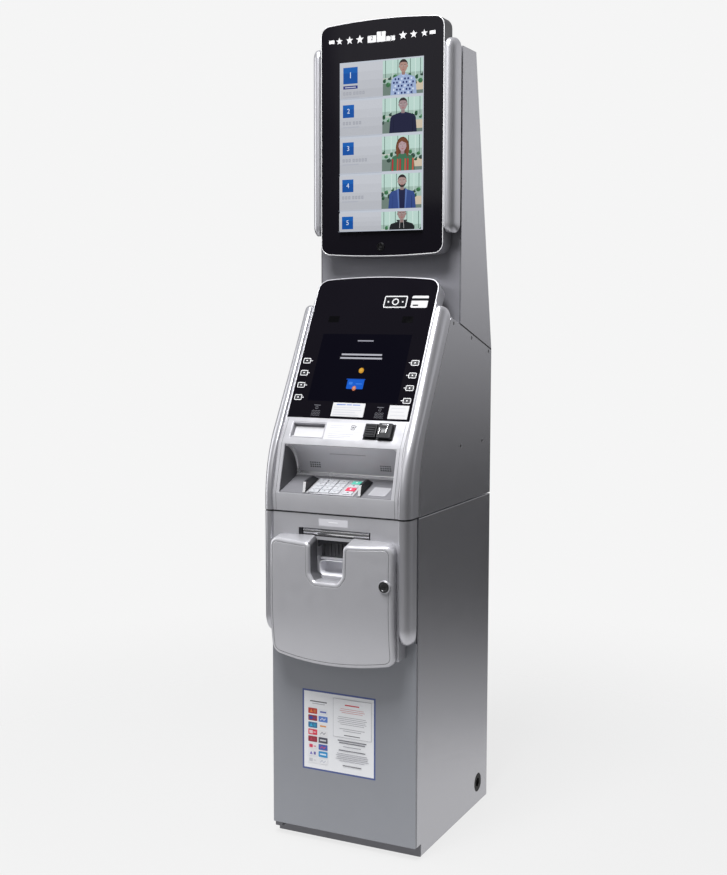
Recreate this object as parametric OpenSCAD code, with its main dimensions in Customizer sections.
// Slim free-standing cash machine with a tall sign display above its sloped hood.
// Lengths are in millimetres. +Z is up, the customer stands at -Y, and +X is the customer's right.
// Modules are drawn with Y = 0 on the vault door's front face, and at_door() puts them in the part's frame.

/* [Overall] */
// Width across the side panels
width = 400; // [398:1:404]
// Depth from the cover lock's face to the rear wall
depth = 583; // [580:1:590]
// Distance that the cover lock stands in front of the vault door
cover_proud = 90; // [89:0.5:92]

/* [Vault] */
// Top of the lower cabinet, just under the seam
vault_top = 850; // [849:0.5:850.5]
// Steel plate of the vault
vault_wall = 12; // [10:1:13]
// Height of the recessed foot
foot_h = 31; // [30:0.5:32]
// Thickness of the vault door's outer slab
slab_t = 8; // [7:0.5:8.5]
// Place of the door's hinge axis across the machine
door_hinge_x = -190; // [-191:0.5:-189]
// Depth of the door's hinge axis behind the door's front face
door_hinge_y = 15.5; // [15:0.25:16]
// Radius of the vault's hinge pins
door_pin_r = 4; // [3.5:0.25:4]

/* [Upper cabinet] */
// Bottom of the upper cabinet, just above the seam
upper_base = 853; // [852:0.5:854]
// Sheet steel of the upper cabinet and the sign's housing
sheet = 2.5; // [2:0.25:3]
// Lean of the side panels' front edge, in degrees
rib_lean = 29.5; // [29:0.25:30]
// Lean of the screen glass, in degrees
glass_lean = 28.1; // [27.5:0.1:28.5]
// Fall of the hood towards the rear, in degrees
hood_fall = 17.4; // [17:0.1:18]

/* [Screen and keys] */
// Width of the function keys
fkey_w = 16; // [14:1:18]
// Height of the function keys
fkey_h = 10; // [8:1:12]
// Distance between function keys along the glass
fkey_pitch = 34; // [33:0.5:35]
// Slope of the keypad
pad_slope = 19.7; // [18:0.1:21]
// Width of a keypad key
key_w = 25; // [24:0.5:25.5]
// Depth of a keypad key
key_d = 15.4; // [14:0.2:15.6]
// Distance between rows of keys
key_pitch = 17.7; // [17.5:0.1:18]

/* [Sign display] */
// Top of the sign's housing
sign_top = 2001; // [1999:1:2003]
// Crown of the sign's front panel
crown_z = 2076; // [2074:1:2078]
// Bottom of the sign's front panel at its middle
sign_base = 1483; // [1481:1:1485]
// Front face of the sign's housing
sign_back_y = 268; // [267:0.5:269]

/* [Hidden] */

half_w = width / 2;
face_y = cover_proud - depth / 2;
rear_y = depth - cover_proud;
eps = 1;
fit = 0.3;
pin_fit = 0.05;
$fn = 48;

// Steel colours and plastics
vault_grey = [0.50, 0.50, 0.54];
panel_grey = [0.42, 0.42, 0.46];
silver = [0.72, 0.72, 0.75];
graphite = [0.14, 0.14, 0.16];
gloss_black = [0.03, 0.03, 0.04];
zinc = [0.62, 0.63, 0.65];
key_white = [0.85, 0.85, 0.86];
key_green = [0.10, 0.62, 0.45];
key_red = [0.85, 0.12, 0.20];

// ---- outlines, as lists of [y, z] or [x, z] points ----

// Points on a circle from angle a0 to a1
function arc(cy, cz, r, a0, a1, n = 8) =
    [for (i = [0 : n]) let (a = a0 + (a1 - a0) * i / n) [cy + r * cos(a), cz + r * sin(a)]];

// A line that rises upright from [y0, z0], bends back on radius r above zs, and leans to z_top
function leaning_line(y0, z0, zs, r, lean, z_top) =
    let (ye = y0 + r * (1 - cos(lean)), ze = zs + r * sin(lean))
    concat([[y0, z0]], arc(y0 + r, zs, r, 180, 180 - lean, 6), [[ye + (z_top - ze) * tan(lean), z_top]]);

function reversed(p) = [for (i = [len(p) - 1 : -1 : 0]) p[i]];
function moved(p, dy, dz = 0) = [for (q = p) [q[0] + dy, q[1] + dz]];

// Height of the hood at depth y
hood_front = [206, 1329];
function hood_z(y) = hood_front[1] - (y - hood_front[0]) * tan(hood_fall);

// Front edge of the upper side panels, and the front line of the bumpers
rib = leaning_line(10, upper_base, 881, 387, rib_lean, hood_front[1] - 1);
bumper_y = -50;
bumper_front = leaning_line(bumper_y, upper_base, 877, 335, 28.5, 1366);

// The points of such an arc between its two ends
function arc_middle(cy, cz, r, a0, a1, n = 8) =
    [for (i = [1 : n - 1]) let (a = a0 + (a1 - a0) * i / n) [cy + r * cos(a), cz + r * sin(a)]];

// Radius of a bow that rises by h over a half width hw
function bow_r(hw, h) = (hw * hw + h * h) / (2 * h);

// A panel outline, [x, z]: rounded corners, a crown that rises, and a foot that is straight or sags
function panel_outline(hw, z0, z1, r, rise, sag = 0) =
    let (top_r = bow_r(hw, rise), top_a = asin((hw - r) / (top_r - r)),
         top_c = z1 - top_r + (top_r - r) * cos(top_a),
         foot_r = sag > 0 ? bow_r(hw, sag) : 0, foot_a = sag > 0 ? asin((hw - r) / (foot_r - r)) : 0,
         foot_c = z0 + foot_r - (foot_r - r) * cos(foot_a))
    concat(arc(hw - r, top_c, r, 0, 90 - top_a, 5),
           arc_middle(0, z1 - top_r, top_r, 90 - top_a, 90 + top_a, 8),
           arc(r - hw, top_c, r, 90 + top_a, 180, 5),
           sag > 0 ? concat(arc(r - hw, foot_c, r, 180, 270 - foot_a, 5),
                            arc_middle(0, z0 + foot_r, foot_r, 270 - foot_a, 270 + foot_a, 8),
                            arc(hw - r, foot_c, r, 270 + foot_a, 360, 5))
                   : [[-hw, z0], [hw, z0]]);

// ---- placing ----

// Puts what is drawn from the door's face into the part's frame
module at_door() translate([0, face_y, 0]) children();

// Extrudes a [y, z] outline from x0 to x1
module across(x0, x1, outline)
    translate([x0, 0, 0]) rotate([90, 0, 90]) linear_extrude(x1 - x0) polygon(outline);

// Extrudes an [x, z] outline from y0 back to y1
module through(y0, y1, outline)
    translate([0, y1, 0]) rotate([90, 0, 0]) linear_extrude(y1 - y0) polygon(outline);

module box(x, y, z) translate([x[0], y[0], z[0]]) cube([x[1] - x[0], y[1] - y[0], z[1] - z[0]]);
module rod_x(x, y, z, r) translate([x[0], y, z]) rotate([0, 90, 0]) cylinder(r = r, h = x[1] - x[0]);
module rod_y(x, y, z, r) translate([x, y[1], z]) rotate([90, 0, 0]) cylinder(r = r, h = y[1] - y[0]);
module rod_z(x, y, z, r) translate([x, y, z[0]]) cylinder(r = r, h = z[1] - z[0]);
module both_sides() { children(); mirror([1, 0, 0]) children(); }

// Frame of the screen glass: z runs up the glass and y goes in behind it
glass_foot = [22, 1078];
module on_glass() translate([0, glass_foot[0], glass_foot[1]]) rotate([-glass_lean, 0, 0]) children();

// Frame of the strip below the glass, with the receipt and card slots
strip_foot = [-15, 1019];
strip_lean = atan((glass_foot[0] - strip_foot[0]) / (glass_foot[1] - strip_foot[1]));
module on_strip() translate([0, strip_foot[0], strip_foot[1]]) rotate([-strip_lean, 0, 0]) children();

// Frame of the keypad: y runs up the slope and z stands off it
pad_foot = [-45, 899];
module on_pad() translate([0, pad_foot[0], pad_foot[1]]) rotate([pad_slope, 0, 0]) children();

// ---- lower cabinet ----

foot_y = foot_h;
floor_t = 12;
vault_front = 10;
hinge_gap_y = 29;
hinge_gap_x = -174;
jamb_t = 8;
jamb_x = 170;
anchor_r = 8;
anchor_x = 145;
anchor_y = [95, 425];
cable_hole = [424, 58];
cable_r = 25;

module anchor_holes(z0, z1)
    for (x = [-anchor_x, anchor_x], y = anchor_y) rod_z(x, y, [z0, z1], anchor_r);

// Foot: base plate, kick plate and the lower hinge lug
module plinth() color(graphite) at_door() difference() {
    union() {
        box([-half_w + vault_wall, half_w - vault_wall], [foot_y + 5, rear_y - vault_wall], [0, 6]);
        box([-half_w, half_w], [foot_y, foot_y + 5], [0, foot_h - 2]);
        box([-half_w + 2, -half_w + 22], [vault_front - 3, foot_y], [foot_h - 12, foot_h - 2]);
    }
    anchor_holes(-eps, 6 + eps);
    rod_z(door_hinge_x, door_hinge_y, [0, foot_h], door_pin_r + pin_fit);
}

// Four bars inside the shell's front edge, which the bolts run behind
module vault_jamb() {
    jamb_y = [hinge_gap_y, hinge_gap_y + jamb_t];
    jamb_low = foot_h + 12;
    jamb_high = vault_top - 24;
    room_top = vault_top - vault_wall - fit;
    both_sides() box([jamb_x, half_w - vault_wall - fit], jamb_y, [foot_h + fit, room_top]);
    box([-jamb_x + fit, jamb_x - fit], jamb_y, [foot_h + fit, jamb_low]);
    box([-jamb_x + fit, jamb_x - fit], jamb_y, [jamb_high, room_top]);
}

// Five steel walls and the jamb
module vault_shell() color(panel_grey) at_door() difference() {
    union() {
        difference() {
            box([-half_w, half_w], [vault_front, rear_y], [0, vault_top]);
            box([-half_w + vault_wall, half_w - vault_wall], [0, rear_y - vault_wall],
                [foot_h, vault_top - vault_wall]);
            box([-half_w + vault_wall, half_w - vault_wall], [0, rear_y - vault_wall],
                [-eps, foot_h - floor_t]);
            box([-half_w - eps, half_w + eps], [0, foot_y + 5], [-eps, foot_h]);
            box([-half_w - eps, hinge_gap_x], [0, hinge_gap_y], [0, vault_top + eps]);
        }
        vault_jamb();
    }
    anchor_holes(foot_h - floor_t - eps, foot_h + eps);
    rod_x([half_w - vault_wall - eps, half_w + eps], cable_hole[0], cable_hole[1], cable_r);
}

// Rubber bush that lines the cable hole
bush_r = 12;
bush_x = half_w - vault_wall - 4;
module cable_grommet() color(gloss_black) at_door() difference() {
    union() {
        rod_x([bush_x, half_w - 0.5], cable_hole[0], cable_hole[1], cable_r - fit);
        rod_x([bush_x, half_w - vault_wall], cable_hole[0], cable_hole[1] + 3, cable_r + 2);
    }
    rod_x([half_w - 40, half_w + eps], cable_hole[0], cable_hole[1], bush_r);
}

// Hinge pins of the vault door, the fascia and the sign's panel
fascia_axis = [260, 1404];
fascia_pin_r = 3;
panel_axis = [266, 2006];
panel_pin_r = 2.5;
module hinge_pins() color(zinc) at_door() {
    rod_z(door_hinge_x, door_hinge_y, [foot_h - 12, foot_h + 22], door_pin_r);
    rod_z(door_hinge_x, door_hinge_y, [vault_top - 22, upper_base + 8], door_pin_r);
    both_sides() rod_x([100, 130], fascia_axis[0], fascia_axis[1], fascia_pin_r);
    both_sides() rod_x([152, 190], panel_axis[0], panel_axis[1], panel_pin_r);
}

// ---- cash dispenser inside the vault ----

chassis_x = 114;
chassis_t = 4;
shaft_r = 5;
// Shaft places, [y, z]
shafts = [for (i = [0 : 4]) [90 + 62 * i, 470 + 18 * i], for (i = [0 : 4]) [90 + 62 * i, 560 + 18 * i],
          [100, 770], [100, 800], [180, 720], [250, 700]];
roller_r = 13;

// Side plates, shelf and top tie
module dispenser_chassis() color(zinc) at_door() difference() {
    union() {
        both_sides() box([chassis_x, chassis_x + chassis_t], [72, 440], [foot_h, 830]);
        box([-chassis_x, chassis_x], [76, 430], [300, 304]);
        box([-chassis_x, chassis_x], [76, 430], [foot_h, foot_h + 4]);
        box([-chassis_x, chassis_x], [400, 440], [826, 830]);
        box([-chassis_x, chassis_x], [120, 430], [440, 443]);
    }
    both_sides() box([chassis_x - eps, chassis_x + chassis_t + eps], [130, 390], [80, 260]);
    for (s = shafts) rod_x([-chassis_x - 9, chassis_x + 9], s[0], s[1], shaft_r + pin_fit);
}

// Note transport rollers on their shafts
module dispenser_rollers() color(gloss_black) at_door() for (s = shafts) {
    rod_x([-chassis_x - 6, chassis_x + 6], s[0], s[1], shaft_r);
    for (x = [-80, -30, 30, 80]) rod_x([x - 10, x + 10], s[0], s[1], roller_r);
}

// Note cassette with its handle
module cash_cassette() color(graphite) at_door() {
    difference() {
        box([-106, 106], [86, 400], [306, 426]);
        box([-102, 102], [92, 396], [312, 427]);
    }
    box([-106, 106], [100, 400], [426, 432]);
    both_sides() box([40, 48], [72, 86], [360, 372]);
    box([-48, 48], [68, 74], [358, 374]);
}

// ---- upper cabinet ----

screw_places = [[222, 1314], [346, 1275], [471, 1237], [276, 1000], [429, 1000]];
inlet_x = 110;
inlet_z = 900;
shell_rear = concat(rib, [[hood_front[0], hood_front[1]], [rear_y, hood_z(rear_y)], [rear_y, upper_base]]);
shell_room = concat(moved(rib, -20, 8), [[hood_front[0] - 20, hood_z(hood_front[0]) - sheet],
    [hood_front[0], hood_z(hood_front[0]) - sheet], [rear_y - sheet, hood_z(rear_y) - sheet],
    [rear_y - sheet, upper_base + 8]]);

// Folded sheet shell: side panels, rear wall, hood and floor
module upper_shell() color(panel_grey) at_door() difference() {
    across(-half_w, half_w, shell_rear);
    across(-half_w + sheet, half_w - sheet, shell_room);
    both_sides() for (s = screw_places) rod_x([half_w - 5, half_w + eps], s[0], s[1], 4.4);
    box([inlet_x - 25, inlet_x + 25], [rear_y - 10, rear_y + eps], [inlet_z - 15, inlet_z + 15]);
    for (i = [0 : 9]) box([-80, 80], [rear_y - 10, rear_y + eps], [1020 + 14 * i, 1025 + 14 * i]);
    rod_z(door_hinge_x, door_hinge_y, [upper_base - eps, upper_base + 9], door_pin_r + pin_fit);
    box([-60, 60], [360, 440], [upper_base - eps, upper_base + 9]);
}

// Flush screws of the side panels, with their clip nuts
module shell_screws() color(graphite) at_door() both_sides() for (s = screw_places) {
    rod_x([half_w - sheet, half_w - 0.2], s[0], s[1], 4);
    rod_x([half_w - sheet - 3, half_w - sheet], s[0], s[1], 5);
}

// Control computer with its cooling slots
module pc_module() color(zinc) at_door() difference() {
    box([-150, 70], [300, 460], [upper_base + 8, upper_base + 128]);
    box([-147, 67], [303, 457], [upper_base + 11, upper_base + 125]);
    for (i = [0 : 7]) box([-130, 50], [290, 310], [upper_base + 24 + 12 * i, upper_base + 29 + 12 * i]);
}

// Mains inlet: shroud with three blades
module power_inlet() color(gloss_black) at_door() {
    difference() {
        box([inlet_x - 24.7, inlet_x + 24.7], [rear_y - 24, rear_y], [inlet_z - 14.7, inlet_z + 14.7]);
        box([inlet_x - 12, inlet_x + 12], [rear_y - 18, rear_y + eps], [inlet_z - 8, inlet_z + 8]);
    }
    for (p = [[-7, -3], [0, 3], [7, -3]])
        box([inlet_x + p[0] - 1, inlet_x + p[0] + 1], [rear_y - 18, rear_y - 4],
            [inlet_z + p[1] - 2, inlet_z + p[1] + 2]);
}

// ---- sign display's housing ----

seam_gap = 0.6;
topper_side = [[sign_back_y, hood_z(sign_back_y) + seam_gap], [sign_back_y, sign_top], [359, sign_top],
    [rear_y, hood_z(rear_y) + seam_gap]];
topper_room = [[sign_back_y + sheet, hood_z(sign_back_y) + seam_gap + sheet],
    [sign_back_y + sheet, sign_top - sheet],
    [359 - sheet, sign_top - sheet], [rear_y - 3, hood_z(rear_y) + seam_gap + sheet + 4]];

module topper_shell() color(panel_grey) at_door() difference() {
    union() {
        difference() {
            across(-half_w, half_w, topper_side);
            across(-half_w + sheet, half_w - sheet, topper_room);
        }
        both_sides() {
            box([98, 112], [fascia_axis[0] - 5, sign_back_y], [fascia_axis[1] - 6, fascia_axis[1] + 6]);
            box([176, 190], [panel_axis[0], panel_axis[0] + 12], [sign_top, panel_axis[1] + 4.5]);
            rod_x([176, 190], panel_axis[0], panel_axis[1], 4.5);
        }
    }
    both_sides() rod_x([95, 113], fascia_axis[0], fascia_axis[1], fascia_pin_r + pin_fit);
    both_sides() rod_x([175, 191], panel_axis[0], panel_axis[1], panel_pin_r + pin_fit);
    for (i = [0 : 5]) translate([0, 440, 1560 + 16 * i]) box([-60, 60], [-30, 40], [0, 5]);
}

// ---- vault door and what it carries ----

door_z0 = 31.5;
throat_x = [-94, 90];
throat_z = [798, 812];
dial_at = [62, 598];
handle_at = [-70, 598];
handle_l = 56;
bolt_z = [130, 440, 740];
bolt_r = 8;
bolt_y = 49;
guide_x = [136, 158];

module vault_door() color(vault_grey) at_door() difference() {
    union() {
        box([-half_w, half_w], [0, slab_t], [door_z0, vault_top]);
        box([-168, 168], [slab_t, 20], [45, vault_top - 26]);
        box([-half_w, -178], [slab_t, 22], [door_z0, vault_top]);
        for (z = bolt_z) box(guide_x, [20, 62], [z - 16, z + 16]);
    }
    box(throat_x, [-eps, 21], throat_z);
    rod_y(dial_at[0], [-eps, 21], dial_at[1], 4 + fit);
    rod_y(handle_at[0], [-eps, 21], handle_at[1], 6 + fit);
    both_sides() box([half_w - 4, half_w + eps], [-eps, slab_t], [544, vault_top + eps]);
    for (z = bolt_z) rod_x([guide_x[0] - eps, guide_x[1] + eps], bolt_y, z, bolt_r + fit);
    rod_z(door_hinge_x, door_hinge_y, [door_z0 - eps, foot_h + 23], door_pin_r + pin_fit);
    rod_z(door_hinge_x, door_hinge_y, [vault_top - 23, vault_top + eps], door_pin_r + pin_fit);
}

module lock_case() color(zinc) at_door() difference() {
    box([20, 96], [20, 46], [556, 640]);
    rod_y(dial_at[0], [19, 40], dial_at[1], 4 + fit);
}

// Three bolts on a tie bar
module door_bolts() color(zinc) at_door() {
    for (z = bolt_z) rod_x([104, 165], bolt_y, z, bolt_r);
    box([102, 114], [bolt_y - 5, bolt_y + 5], [bolt_z[0] - 14, bolt_z[2] + 14]);
}

module combination_dial() color(graphite) at_door() {
    rod_y(dial_at[0], [-6, -1], dial_at[1], 33);
    rod_y(dial_at[0], [-26, -6], dial_at[1], 20);
    rod_y(dial_at[0], [-1, 36], dial_at[1], 4);
}

module bolt_handle() color(zinc) at_door() {
    rod_y(handle_at[0], [-22, -1], handle_at[1], 13);
    rod_y(handle_at[0], [-1, 34], handle_at[1], 6);
    box([handle_at[0] - 7, handle_at[0] + 7], [-34, -22], [handle_at[1] - handle_l, handle_at[1]]);
    rod_y(handle_at[0], [-34, -22], handle_at[1], 13);
}

// Silver upper front of the door: slot, pocket opening, dial window, cover hinges and lock keeper
fascia_y = -42;
lower_base = 508;
slot_x = [-100, 96];
slot_z = [796, 815];
pocket_hw = 48;
pocket_z = [690, 788];
plastic = 3;
panel_x = 172;
cover_axis = [-163, -56];
cover_pin_r = 1.8;
lug_z = [[560, 570], [736, 746]];
keeper_x = 121;
keeper_z = [690, 704];
shutter_y = [-12, -10];

// Screwed-on hinge lugs with their pins, and the keeper that the cover's lock turns behind
module fascia_brackets() {
    for (z = lug_z) {
        box([cover_axis[0] - 3, cover_axis[0] + 3], [cover_axis[1] - 3, fascia_y - fit], z);
        rod_z(cover_axis[0], cover_axis[1], [z[0] - 10, z[1] + 10], cover_pin_r);
    }
    box([keeper_x, keeper_x + 4], [-56, fascia_y - fit], keeper_z);
    box([keeper_x, keeper_x + 18], [-56, -53.5], keeper_z);
}

module fascia_shell() difference() {
    union() {
        difference() {
            box([-panel_x, panel_x], [fascia_y, 0], [lower_base, vault_top]);
            box([-panel_x + plastic, panel_x - plastic], [fascia_y + plastic, eps],
                [lower_base + plastic, vault_top - plastic]);
        }
        box([slot_x[0] - 3, slot_x[1] + 3], [fascia_y, -2], [slot_z[0] - 3, slot_z[1] + 3]);
        box([-pocket_hw - 3, pocket_hw + 3], [fascia_y, -2], [pocket_z[0] - 3, slot_z[0]]);
    }
    box([-135, 135], [fascia_y - eps, 0], [522, 672]);
    box(slot_x, [fascia_y - eps, eps], slot_z);
    box([-pocket_hw, pocket_hw], [fascia_y - eps, eps], pocket_z);
    box([slot_x[0] + 1, slot_x[1] - 1], [shutter_y[0] - 0.5, shutter_y[1] + 0.5],
        [slot_z[1] - eps, slot_z[1] + 5]);
}

module lower_fascia() color(silver) at_door() {
    fascia_shell();
    fascia_brackets();
}

// Plate that closes the note slot
module cash_shutter() color(zinc) at_door()
    box([slot_x[0] + 2, slot_x[1] - 2], shutter_y, [slot_z[0] + 0.6, slot_z[1] - 0.6]);

// Sheet metal tray behind the cover's notch, with the note guide over it
module cash_pocket() color(zinc) at_door() {
    difference() {
        box([-pocket_hw + 0.5, pocket_hw - 0.5], [fascia_y, -4], [pocket_z[0] + 0.5, 746]);
        box([-pocket_hw + 2.5, pocket_hw - 2.5], [fascia_y + 2, -6], [pocket_z[0] + 2.5, 747]);
        box([-pocket_hw + 2.5, pocket_hw - 2.5], [fascia_y - eps, fascia_y + 3], [pocket_z[0] + 10, 747]);
    }
    box([-pocket_hw + 0.5, pocket_hw - 0.5], [-20, -17], [744, pocket_z[1] - 0.5]);
}

// Rounded trims along both sides of the door's upper half
trim_x = half_w;
trim_t = 4;
trim_z0 = 544;
trim_r = 30;
lower_trim = concat([[0, vault_top], [bumper_y, vault_top]],
    arc(bumper_y + trim_r, trim_z0 + trim_r, trim_r, 180, 270, 6), [[0, trim_z0]]);
lower_trim_room = concat([[eps, vault_top - trim_t], [bumper_y + trim_t, vault_top - trim_t]],
    arc(bumper_y + trim_r, trim_z0 + trim_r, trim_r - trim_t, 180, 270, 6), [[eps, trim_z0 + trim_t]]);
module lower_bumpers() color(silver) at_door() both_sides() {
    difference() {
        across(panel_x, trim_x, lower_trim);
        across(panel_x + trim_t, trim_x - trim_t, lower_trim_room);
    }
    box([trim_x - trim_t, trim_x], [0, slab_t], [trim_z0, vault_top]);
}

// ---- access cover ----

cover_hw = 168;
cover_z0 = 483;
cover_top = 799;
cover_back = fascia_y - 1.5;
cover_bow = 20;
lock_at = [149, 695];
lock_r = 11;
lock_face = -79;
boss_r = 15.5;
cover_outline = panel_outline(cover_hw, cover_z0, cover_top, 24, 4, 16);
cover_inside = panel_outline(cover_hw - plastic, cover_z0 + plastic, cover_top - plastic, 21, 4, 16);
// Side profile, top to bottom: a ledge that falls to the front, the bulge, and the tuck at the foot
cover_side = [[cover_back, 800], [-90, 787.5], [-90, 690], [-89.6, 640], [-87, 590], [-82, 545], [-76, 512],
    [-70, 481], [cover_back, 481]];
// Plan of the bulge: fullest in the middle
function bowed_plan(hw, front) = concat([[hw, cover_back + eps]],
    [for (i = [10 : -1 : -10]) [hw * i / 10, front + cover_bow * pow(i / 10, 2)]],
    [[-hw, cover_back + eps]]);
module bowed(hw, front) translate([0, 0, cover_z0 - 5])
    linear_extrude(height = cover_top - cover_z0 + 10) polygon(bowed_plan(hw, front));
notch = [[-47, 812], [-46, 712], [-34, 694], [30, 694], [42, 712], [43, 812]];

module cover_ears(z) for (e = [[z[0] - 8, z[0] - 2], [z[1] + 2, z[1] + 8]])
    box([-cover_hw + eps, cover_axis[0] + 4], [cover_axis[1] - 4, cover_axis[1] + 4], e);

module access_cover() color(silver) at_door() difference() {
    union() {
        difference() {
            intersection() {
                through(-100, cover_back, cover_outline);
                across(-cover_hw - eps, cover_hw + eps, cover_side);
                bowed(cover_hw, -cover_proud);
            }
            intersection() {
                through(-100, 0, cover_inside);
                across(-cover_hw, cover_hw, moved(cover_side, plastic, -2));
                translate([0, eps, 0]) bowed(cover_hw, plastic - cover_proud);
            }
        }
        for (z = lug_z) cover_ears(z);
        rod_y(lock_at[0], [lock_face + 1.2, -62], lock_at[1], boss_r);
    }
    through(-100, 0, notch);
    rod_y(lock_at[0], [-100, -60], lock_at[1], lock_r + fit);
    for (z = lug_z) {
        rod_z(cover_axis[0], cover_axis[1], [z[0] - 12, z[1] + 12], cover_pin_r + pin_fit);
        box([-cover_hw - eps, cover_axis[0]], [cover_axis[1] - 7, 0], [z[0] - 1.5, z[1] + 1.5]);
    }
}

// Cam lock with a round face and a tongue behind the cover
module cover_lock() color(graphite) at_door() {
    rod_y(lock_at[0], [lock_face, lock_face + 1], lock_at[1], 13.5);
    rod_y(lock_at[0], [lock_face + 1, -62], lock_at[1], lock_r);
    rod_y(lock_at[0], [-62, -48], lock_at[1], 5);
    box([lock_at[0] - 6, lock_at[0] + 6], [-51, -48], [lock_at[1] - 22, lock_at[1] + 6]);
}

// ---- upper fascia ----

header_h = 401;
header_d = 42;
glass_t = 3.8;
glass_seat = 4;
glass_outline = panel_outline(170, 0, header_h, 30, 10);
function inset_outline(e) = panel_outline(170 - e, e, header_h - e, 30 - e, 10);
fkey_x = 150;
fkey_z0 = 57;
function on_glass_yz(z, y) = [glass_foot[0] + z * sin(glass_lean) + y * cos(glass_lean),
    glass_foot[1] + z * cos(glass_lean) - y * sin(glass_lean)];
body_front = [[-44, upper_base], [-47, 897], strip_foot, glass_foot, on_glass_yz(330, 0)];
body_side = concat(body_front, [on_glass_yz(330, header_d)], reversed(moved(rib, -1.5)));
body_room = [[-40.6, upper_base + 3], [-43.6, 897], [-10, 1022], [30, 1082], [glass_foot[0] + 150.6, 1345],
    [260, 1345], [260, upper_base + 3]];
recess_hw = 152.5;
recess_mouth = [[-70, 899], [-30, 899], [5, 1016.5], [-70, 1016.5]];
receipt_x = [-146, -52];
receipt_z = [17, 60];
card_x = [56, 136];
card_z = [19, 63];

module header_lugs() both_sides() {
    on_glass() box([117, 130], [20, 56], [385, 395]);
    rod_x([117, 130], fascia_axis[0], fascia_axis[1], 6);
}

module fascia_frame() color(silver) at_door() difference() {
    union() {
        difference() {
            union() {
                across(-panel_x, panel_x, body_side);
                on_glass() through(0, header_d, glass_outline);
            }
            across(-panel_x + plastic, panel_x - plastic, body_room);
            on_glass() intersection() {
                through(7, 80, inset_outline(4));
                box([-170, 170], [7, 80], [200, 400]);
            }
        }
        header_lugs();
    }
    on_glass() through(-eps, glass_seat, inset_outline(2.5));
    on_glass() box([-162, 162], [0, 12], [30, 255]);
    on_strip() box(receipt_x, [-10, 12], receipt_z);
    on_strip() box(card_x, [-10, 12], card_z);
    across(-recess_hw, recess_hw, recess_mouth);
    both_sides() rod_x([116, 131], fascia_axis[0], fascia_axis[1], fascia_pin_r + pin_fit);
}

upper_trim = concat(bumper_front, [[190, 1361], [202, 1345]], reversed(moved(rib, -1.5)));
upper_trim_room = concat(moved(bumper_front, trim_t), [[202, 1350], [260, 1350], [260, upper_base + trim_t],
    [bumper_y + trim_t, upper_base + trim_t]]);
module fascia_bumpers() color(silver) at_door() both_sides() difference() {
    across(panel_x, trim_x, upper_trim);
    intersection() {
        across(panel_x + trim_t, trim_x - trim_t, upper_trim_room);
        box([0, half_w], [-60, 400], [upper_base + trim_t, 1346]);
    }
}

module screen_glass() color(gloss_black) at_door() on_glass() difference() {
    through(0, glass_t, inset_outline(2.7));
    for (x = [-fkey_x, fkey_x], k = [0 : 3]) {
        z = fkey_z0 + fkey_pitch * k;
        box([x - fkey_w / 2 - fit, x + fkey_w / 2 + fit], [-eps, 5],
            [z - fkey_h / 2 - fit, z + fkey_h / 2 + fit]);
    }
}

// Screen module with its fixing strap
module lcd_panel() color(graphite) at_door() on_glass() {
    box([-131, 135], [4.2, 28], [40, 246]);
    box([-60, 60], [7.2, 10], [18, 268]);
}

// Function key on side s (-1 or 1), row 1 at the top
module function_key(s, row) color(silver) at_door() on_glass() {
    x = s * fkey_x;
    z = fkey_z0 + fkey_pitch * (4 - row);
    box([x - fkey_w / 2, x + fkey_w / 2], [-0.8, 5], [z - fkey_h / 2, z + fkey_h / 2]);
    box([x - fkey_w / 2 - 2, x + fkey_w / 2 + 2], [5, 6], [z - fkey_h / 2 - 2, z + fkey_h / 2 + 2]);
}

// ---- keypad recess ----

recess_c = [-27, 940];
recess_r = 77;
recess_wall = 2.5;
pad_len = 90;
ledge_z = pad_foot[1] + (pad_len + 0.5) * sin(pad_slope) + 3.4;
function pad_yz(v, h) = [pad_foot[0] + v * cos(pad_slope) - h * sin(pad_slope),
    pad_foot[1] + v * sin(pad_slope) + h * cos(pad_slope)];
recess_room = concat([pad_yz(-30, 0), pad_yz(pad_len, 0), [pad_yz(pad_len, 0)[0] + 1.2, ledge_z]],
    [[recess_c[0] + recess_r, ledge_z]], arc(recess_c[0], recess_c[1], recess_r, 0, 80, 9), [[-70, 1030]]);
recess_shell = concat([pad_yz(2.2, -recess_wall), pad_yz(pad_len + 4, -recess_wall),
    [recess_c[0] + recess_r + recess_wall, ledge_z - 4]],
    arc(recess_c[0], recess_c[1], recess_r + recess_wall, 0, 78, 9), [[-10.9, 1016], [-41.6, 902]]);
pad_plate_x = [-80, 50];
pad_plate_v = [2, 84];
pad_plate_t = 1.5;
key_x = [-61.5, -33.5, -5.5, 30.5];
key_v0 = 15.5;

module key_holes() for (x = key_x, r = [0 : 3])
    box([x - key_w / 2 - fit, x + key_w / 2 + fit],
        [key_v0 + r * key_pitch - key_d / 2 - fit, key_v0 + r * key_pitch + key_d / 2 + fit], [-20, 10]);

module keypad_housing() color(vault_grey) at_door() difference() {
    union() {
        difference() {
            across(-recess_hw - recess_wall, recess_hw + recess_wall, recess_shell);
            across(-recess_hw, recess_hw, recess_room);
        }
        on_pad() box(pad_plate_x, pad_plate_v, [-recess_wall, pad_plate_t]);
    }
    on_pad() key_holes();
    for (x = [-100, 92], i = [0 : 4], j = [0 : 2])
        rod_y(x + 5 * i - 10, [30, 60], 950 + 6 * j, 1.2);
}

// Privacy fins at both sides of the keypad
fin = [pad_yz(3, pad_plate_t), [-37, 928], [2, 938], pad_yz(81, pad_plate_t)];
module keypad_shields() color(gloss_black) at_door() {
    across(-89, -81, fin);
    across(62, 70, fin);
}

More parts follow.
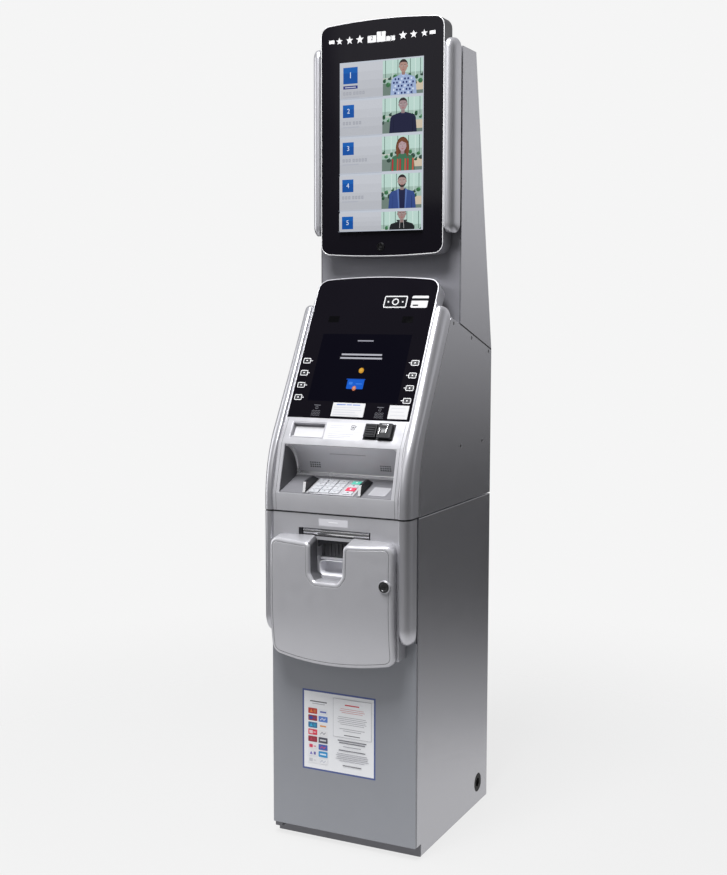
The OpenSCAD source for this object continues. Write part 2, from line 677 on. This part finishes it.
// Keypad key by row (1 at the rear) and column (1 at the left)
module keypad_key(row, col) at_door() on_pad() {
    x = key_x[col - 1];
    v = key_v0 + (4 - row) * key_pitch;
    box([x - key_w / 2, x + key_w / 2], [v - key_d / 2, v + key_d / 2], [-5, 4]);
    box([x - key_w / 2 - 1, x + key_w / 2 + 1], [v - key_d / 2 - 0.9, v + key_d / 2 + 0.9], [-6, -5]);
}

module key_11() color(key_white) keypad_key(1, 1);
module key_12() color(key_white) keypad_key(1, 2);
module key_13() color(key_white) keypad_key(1, 3);
module key_14() color(key_green) keypad_key(1, 4);
module key_21() color(key_white) keypad_key(2, 1);
module key_22() color(key_white) keypad_key(2, 2);
module key_23() color(key_white) keypad_key(2, 3);
module key_24() color(key_white) keypad_key(2, 4);
module key_31() color(key_white) keypad_key(3, 1);
module key_32() color(key_white) keypad_key(3, 2);
module key_33() color(key_white) keypad_key(3, 3);
module key_34() color(key_red) keypad_key(3, 4);
module key_41() color(key_white) keypad_key(4, 1);
module key_42() color(key_white) keypad_key(4, 2);
module key_43() color(key_white) keypad_key(4, 3);
module key_44() color(key_white) keypad_key(4, 4);

// ---- readers in the strip ----

card_slot_x = [91.5, 97];
module card_reader() color(gloss_black) at_door() on_strip() difference() {
    union() {
        box([card_x[0] + fit, card_x[1] - fit], [0, 62], [card_z[0] + fit, card_z[1] - fit]);
        box([60, card_slot_x[0]], [-9, 1], [24, 58]);
        box([card_slot_x[1], 132], [-12, 1], [22, 60]);
    }
    box(card_slot_x, [-20, 48], [26, 57]);
}

module receipt_printer() color(silver) at_door() on_strip() {
    difference() {
        box([receipt_x[0] + fit, receipt_x[1] - fit], [0, 70], [receipt_z[0] + fit, receipt_z[1] - fit]);
        box([receipt_x[0] + 3, receipt_x[1] - 3], [-eps, 14], [receipt_z[0] + 3, receipt_z[1] - 3]);
        box([receipt_x[0] + 10, receipt_x[1] - 10], [13, 60], [34, 40]);
    }
    rod_x([receipt_x[0] + 8, receipt_x[1] - 8], 93, 47, 26);
}

// ---- sign display's front panel ----

sign_front_y = 215;
frame_back = sign_back_y - 2;
sign_hw = 172;
sign_lock_z = 1507;
sign_lock_r = 9;
function sign_outline(e) = panel_outline(sign_hw - e, sign_base + e, crown_z - e, 26 - e, 9, 7);
sign_lcd_hw = 123;
sign_lcd_z = [1542, 1980];

module topper_frame() color(graphite) at_door() difference() {
    union() {
        difference() {
            through(sign_front_y, frame_back, sign_outline(0));
            through(sign_front_y + 7, frame_back + eps, sign_outline(4));
        }
        both_sides() {
            rod_x([152, 171], panel_axis[0], panel_axis[1], 4.5);
            box([152, 171], [frame_back - 16, panel_axis[0]], [panel_axis[1] - 4.5, panel_axis[1] + 4.5]);
        }
    }
    through(sign_front_y - eps, sign_front_y + glass_seat, sign_outline(2.5));
    box([-sign_lcd_hw - 2, sign_lcd_hw + 2], [sign_front_y, sign_front_y + 8],
        [sign_lcd_z[0] - 2, sign_lcd_z[1] + 2]);
    rod_y(0, [sign_front_y, sign_front_y + 20], sign_lock_z, sign_lock_r + fit);
    both_sides() rod_x([151, 173], panel_axis[0], panel_axis[1], panel_pin_r + pin_fit);
}

module topper_glass() color(gloss_black) at_door() difference() {
    through(sign_front_y, sign_front_y + glass_t, sign_outline(2.7));
    rod_y(0, [sign_front_y - eps, sign_front_y + 20], sign_lock_z, sign_lock_r + fit);
}

module topper_lcd() color([0.7, 0.75, 0.8]) at_door() {
    box([-sign_lcd_hw, sign_lcd_hw], [sign_front_y + 4, sign_front_y + 32], sign_lcd_z);
    for (z = [1620, 1900]) box([-160, 160], [sign_front_y + 7.2, sign_front_y + 10], [z, z + 30]);
}

sign_trim_y = [210, 258];
sign_trim_z = [1538, 2016];
function trim_outline(e, r) = concat(
    arc(sign_trim_y[0] + r, sign_trim_z[1] - r, r - e, 180, 90, 6),
    arc(sign_trim_y[1] - 12, sign_trim_z[1] - 12, 12 - e, 90, 0, 4),
    arc(sign_trim_y[1] - 12, sign_trim_z[0] + 12, 12 - e, 0, -90, 4),
    arc(sign_trim_y[0] + r, sign_trim_z[0] + r, r - e, 270, 180, 6));
module topper_bumpers() color(silver) at_door() both_sides() difference() {
    across(panel_x, trim_x, trim_outline(0, 24));
    across(panel_x + trim_t, trim_x - trim_t, trim_outline(trim_t, 24));
}

module topper_lock() color(graphite) at_door() {
    rod_y(0, [sign_front_y - 1.5, sign_front_y - 0.5], sign_lock_z, 11);
    rod_y(0, [sign_front_y - 0.5, sign_front_y + 24], sign_lock_z, sign_lock_r);
    box([-5, 5], [sign_front_y + 24, sign_front_y + 27], [sign_lock_z - 15, sign_lock_z + 5]);
}

// ---- what is drawn ----

plinth();
vault_shell();
dispenser_chassis();
dispenser_rollers();
upper_shell();
shell_screws();
pc_module();
topper_shell();
power_inlet();
cable_grommet();
hinge_pins();
cash_cassette();
vault_door();
lower_fascia();
lower_bumpers();
cash_pocket();
lock_case();
cash_shutter();
combination_dial();
bolt_handle();
door_bolts();
access_cover();
cover_lock();
fascia_frame();
fascia_bumpers();
screen_glass();
lcd_panel();
keypad_housing();
keypad_shields();
card_reader();
receipt_printer();
topper_frame();
topper_glass();
topper_lcd();
topper_bumpers();
topper_lock();
function_key(-1, 1);  // function_key_l1
function_key(-1, 2);  // function_key_l2
function_key(-1, 3);  // function_key_l3
function_key(-1, 4);  // function_key_l4
function_key(1, 1);  // function_key_r1
function_key(1, 2);  // function_key_r2
function_key(1, 3);  // function_key_r3
function_key(1, 4);  // function_key_r4
key_11();
key_12();
key_13();
key_14();
key_21();
key_22();
key_23();
key_24();
key_31();
key_32();
key_33();
key_34();
key_41();
key_42();
key_43();
key_44();
